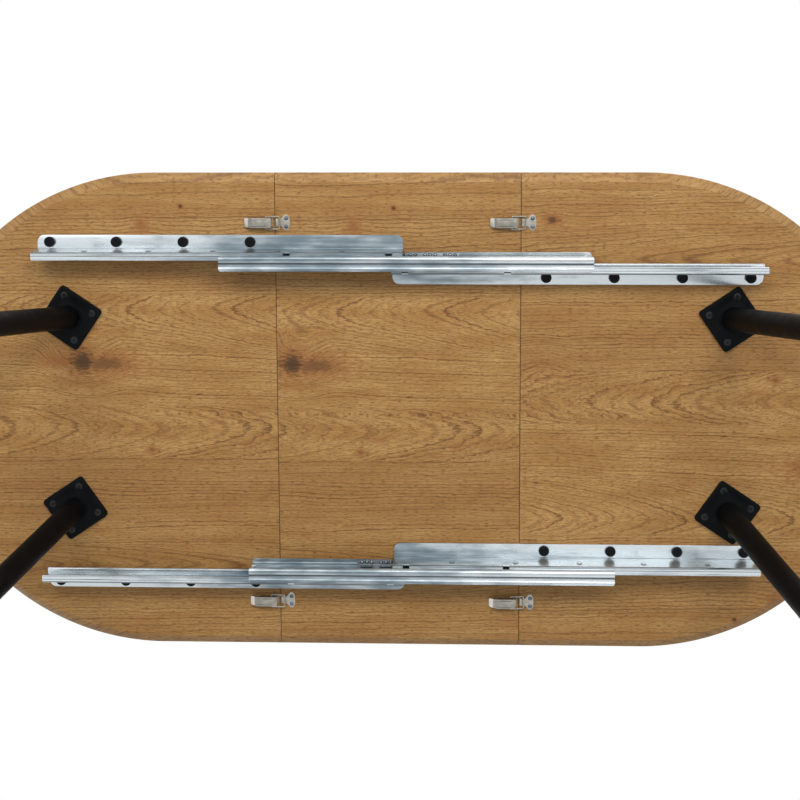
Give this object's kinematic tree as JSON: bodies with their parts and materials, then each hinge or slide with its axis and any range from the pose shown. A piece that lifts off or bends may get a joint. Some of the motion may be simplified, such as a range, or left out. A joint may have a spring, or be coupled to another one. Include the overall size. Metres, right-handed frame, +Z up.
{
  "type": "extending dining table",
  "caption": "Oval-ended dining table with a split top, an insert leaf, ball-bearing slides, toggle latches and splayed tube legs, shown extended.",
  "frame": {"origin": "on the floor, midway between the ends and the sides of the extended table", "axes": "+X along the length towards the right half, +Y towards the back, +Z up"},
  "size_m": [1.5998, 0.8, 0.75],
  "materials": {
    "ball_steel": "polished bearing steel",
    "black_leg": "matt black powder coat",
    "black_plastic": "black polyethylene glide",
    "black_screw": "black oxide",
    "cage_steel": "zinc-plated ball cage",
    "nickel_latch": "nickel-plated sheet steel",
    "nickel_screw": "nickel-plated",
    "oak_board": "oak decor on panel, satin",
    "zinc_sleeve": "zinc-plated threaded sleeve",
    "zinc_steel": "bright zinc-plated sheet steel"
  },
  "bodies": {
    "left_half": {"left_top": "oak_board", "threaded_sleeves_left": "zinc_sleeve", "leg_plate_front_left": "black_leg", "leg_plate_back_left": "black_leg", "leg_tube_front_left": "black_leg", "leg_tube_back_left": "black_leg", "leg_glides_left": "black_plastic", "leg_screws_left": "black_screw", "slide_rail_front_left": "zinc_steel", "slide_rail_back_left": "zinc_steel", "slide_bolts_left": "black_screw", "latch_base_front_left": "nickel_latch", "latch_base_back_left": "nickel_latch", "latch_pin_front_left": "nickel_latch", "latch_pin_back_left": "nickel_latch", "latch_screws_left": "nickel_screw"},
    "right_half": {"right_top": "oak_board", "threaded_sleeves_right": "zinc_sleeve", "leg_plate_front_right": "black_leg", "leg_plate_back_right": "black_leg", "leg_tube_front_right": "black_leg", "leg_tube_back_right": "black_leg", "leg_glides_right": "black_plastic", "leg_screws_right": "black_screw", "slide_rail_front_right": "zinc_steel", "slide_rail_back_right": "zinc_steel", "slide_bolts_right": "black_screw", "latch_catch_front_right": "nickel_latch", "latch_catch_back_right": "nickel_latch", "latch_screws_right": "nickel_screw"},
    "leaf": {"leaf_top": "oak_board", "latch_catch_front_left": "nickel_latch", "latch_catch_back_left": "nickel_latch", "latch_base_front_right": "nickel_latch", "latch_base_back_right": "nickel_latch", "latch_pin_front_right": "nickel_latch", "latch_pin_back_right": "nickel_latch", "latch_screws_leaf": "nickel_screw"},
    "middle_front": {"slide_middle_front_left": "zinc_steel", "slide_middle_front_right": "zinc_steel", "slide_rivets_front": "zinc_steel"},
    "cage_front_left": {"ball_cage_front_left": "cage_steel", "balls_front_left": "ball_steel"},
    "lever_front_left": {"latch_lever_front_left": "nickel_latch"},
    "bail_front_left": {"latch_bail_front_left": "nickel_latch"},
    "cage_front_right": {"ball_cage_front_right": "cage_steel", "balls_front_right": "ball_steel"},
    "lever_front_right": {"latch_lever_front_right": "nickel_latch"},
    "bail_front_right": {"latch_bail_front_right": "nickel_latch"},
    "middle_back": {"slide_middle_back_left": "zinc_steel", "slide_middle_back_right": "zinc_steel", "slide_rivets_back": "zinc_steel"},
    "cage_back_left": {"ball_cage_back_left": "cage_steel", "balls_back_left": "ball_steel"},
    "lever_back_left": {"latch_lever_back_left": "nickel_latch"},
    "bail_back_left": {"latch_bail_back_left": "nickel_latch"},
    "cage_back_right": {"ball_cage_back_right": "cage_steel", "balls_back_right": "ball_steel"},
    "lever_back_right": {"latch_lever_back_right": "nickel_latch"},
    "bail_back_right": {"latch_bail_back_right": "nickel_latch"}
  },
  "joints": [
    {"name": "table_opening", "type": "slide", "parent": "left_half", "child": "right_half", "axis": [1, 0, 0], "range_m": [0, 0.1]},
    {"name": "middle_front_slide", "type": "slide", "parent": "left_half", "child": "middle_front", "axis": [1, 0, 0], "range_m": [0, 0.05]},
    {"name": "cage_front_left_slide", "type": "slide", "parent": "left_half", "child": "cage_front_left", "axis": [1, 0, 0], "range_m": [0, 0.025]},
    {"name": "cage_front_right_slide", "type": "slide", "parent": "middle_front", "child": "cage_front_right", "axis": [1, 0, 0], "range_m": [0, 0.025]},
    {"name": "middle_back_slide", "type": "slide", "parent": "left_half", "child": "middle_back", "axis": [1, 0, 0], "range_m": [0, 0.05]},
    {"name": "cage_back_left_slide", "type": "slide", "parent": "left_half", "child": "cage_back_left", "axis": [1, 0, 0], "range_m": [0, 0.025]},
    {"name": "cage_back_right_slide", "type": "slide", "parent": "middle_back", "child": "cage_back_right", "axis": [1, 0, 0], "range_m": [0, 0.025]},
    {"name": "leaf_lift", "type": "slide", "parent": "middle_front", "child": "leaf", "axis": [0, 0, 1], "range_m": [0, 0.4]},
    {"name": "lever_front_left_hinge", "type": "hinge", "parent": "left_half", "child": "lever_front_left", "pos_m": [-0.208, -0.32, 0.725], "axis": [0, -1, 0], "range_deg": [0, 90]},
    {"name": "bail_front_left_hinge", "type": "hinge", "parent": "lever_front_left", "child": "bail_front_left", "pos_m": [-0.2148, -0.32, 0.7264], "axis": [0, 1, 0], "range_deg": [0, 90]},
    {"name": "lever_front_right_hinge", "type": "hinge", "parent": "leaf", "child": "lever_front_right", "pos_m": [0.192, -0.32, 0.725], "axis": [0, -1, 0], "range_deg": [0, 90]},
    {"name": "bail_front_right_hinge", "type": "hinge", "parent": "right_half", "child": "bail_front_right", "pos_m": [0.2073, -0.32, 0.7294], "axis": [0, -1, 0], "range_deg": [0, 30]},
    {"name": "lever_back_left_hinge", "type": "hinge", "parent": "left_half", "child": "lever_back_left", "pos_m": [-0.208, 0.32, 0.725], "axis": [0, -1, 0], "range_deg": [0, 90]},
    {"name": "bail_back_left_hinge", "type": "hinge", "parent": "lever_back_left", "child": "bail_back_left", "pos_m": [-0.2148, 0.32, 0.7264], "axis": [0, 1, 0], "range_deg": [0, 90]},
    {"name": "lever_back_right_hinge", "type": "hinge", "parent": "leaf", "child": "lever_back_right", "pos_m": [0.192, 0.32, 0.725], "axis": [0, -1, 0], "range_deg": [0, 90]},
    {"name": "bail_back_right_hinge", "type": "hinge", "parent": "right_half", "child": "bail_back_right", "pos_m": [0.2073, 0.32, 0.7294], "axis": [0, -1, 0], "range_deg": [0, 30]}
  ],
  "couplings": [
    {"joint": "middle_front_slide", "follows": "table_opening", "ratio": 0.5},
    {"joint": "cage_front_left_slide", "follows": "table_opening", "ratio": 0.25},
    {"joint": "cage_front_right_slide", "follows": "table_opening", "ratio": 0.25},
    {"joint": "middle_back_slide", "follows": "table_opening", "ratio": 0.5},
    {"joint": "cage_back_left_slide", "follows": "table_opening", "ratio": 0.25},
    {"joint": "cage_back_right_slide", "follows": "table_opening", "ratio": 0.25},
    {"joint": "bail_front_left_hinge", "follows": "lever_front_left_hinge", "ratio": 1},
    {"joint": "bail_front_right_hinge", "follows": "lever_front_right_hinge", "ratio": 0.3},
    {"joint": "bail_back_left_hinge", "follows": "lever_back_left_hinge", "ratio": 1},
    {"joint": "bail_back_right_hinge", "follows": "lever_back_right_hinge", "ratio": 0.3}
  ]
}
